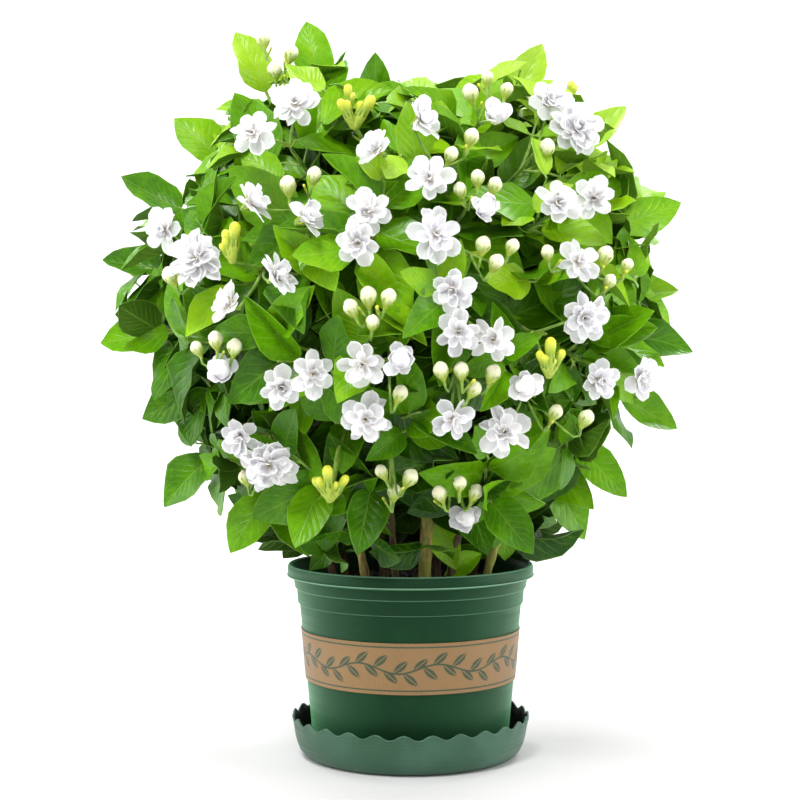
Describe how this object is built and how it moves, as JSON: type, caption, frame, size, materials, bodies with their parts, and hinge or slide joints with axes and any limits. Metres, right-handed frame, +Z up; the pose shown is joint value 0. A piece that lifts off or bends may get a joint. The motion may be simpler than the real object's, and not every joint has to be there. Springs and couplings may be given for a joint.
{
  "type": "potted arabian jasmine",
  "caption": "Bushy jasmine shrub with white blooms and buds, in a round green plastic pot with a plain paper band, standing in a scalloped saucer.",
  "frame": {"origin": "middle of the saucer's underside, which rests on the ground", "axes": "+Z up, the plant's front faces -Y, +X to the right as seen from the front"},
  "size_m": [0.4072, 0.3962, 0.5076],
  "materials": {
    "moulded_green_plastic": "satin moulded polypropylene",
    "tan_paper": "uncoated kraft paper",
    "potting_soil": "crumbly peat and bark",
    "jasmine_leaf_and_cane": "waxy leaf",
    "jasmine_petal": "soft petal"
  },
  "bodies": {
    "root": {"saucer": "moulded_green_plastic", "pot": "moulded_green_plastic", "label_band": "tan_paper", "soil": "potting_soil", "leafy_stem_01": "jasmine_leaf_and_cane", "leafy_stem_02": "jasmine_leaf_and_cane", "leafy_stem_03": "jasmine_leaf_and_cane", "leafy_stem_04": "jasmine_leaf_and_cane", "leafy_stem_05": "jasmine_leaf_and_cane", "leafy_stem_06": "jasmine_leaf_and_cane", "leafy_stem_07": "jasmine_leaf_and_cane", "leafy_stem_08": "jasmine_leaf_and_cane", "leafy_stem_09": "jasmine_leaf_and_cane", "leafy_stem_10": "jasmine_leaf_and_cane", "leafy_stem_11": "jasmine_leaf_and_cane", "leafy_stem_12": "jasmine_leaf_and_cane", "flower_spray_01": "jasmine_petal", "flower_spray_02": "jasmine_petal", "flower_spray_03": "jasmine_petal", "flower_spray_04": "jasmine_petal", "flower_spray_05": "jasmine_petal", "flower_spray_06": "jasmine_petal", "flower_spray_07": "jasmine_petal", "flower_spray_08": "jasmine_petal", "flower_spray_09": "jasmine_petal", "flower_spray_10": "jasmine_petal", "flower_spray_11": "jasmine_petal", "flower_spray_12": "jasmine_petal", "flower_spray_13": "jasmine_petal", "flower_spray_14": "jasmine_petal", "flower_spray_15": "jasmine_petal", "flower_spray_16": "jasmine_petal", "flower_spray_17": "jasmine_petal", "flower_spray_18": "jasmine_petal", "flower_spray_19": "jasmine_petal", "flower_spray_20": "jasmine_petal", "flower_spray_21": "jasmine_petal", "flower_spray_22": "jasmine_petal", "flower_spray_23": "jasmine_petal", "flower_spray_24": "jasmine_petal", "flower_spray_25": "jasmine_petal", "flower_spray_26": "jasmine_petal", "flower_spray_27": "jasmine_petal", "flower_spray_28": "jasmine_petal", "flower_spray_29": "jasmine_petal", "flower_spray_30": "jasmine_petal", "flower_spray_31": "jasmine_petal", "flower_spray_32": "jasmine_petal", "flower_spray_33": "jasmine_petal", "flower_spray_34": "jasmine_petal", "flower_spray_35": "jasmine_petal", "flower_spray_36": "jasmine_petal", "flower_spray_37": "jasmine_petal", "flower_spray_38": "jasmine_petal", "flower_spray_39": "jasmine_petal", "flower_spray_40": "jasmine_petal", "flower_spray_41": "jasmine_petal"}
  },
  "joints": []
}
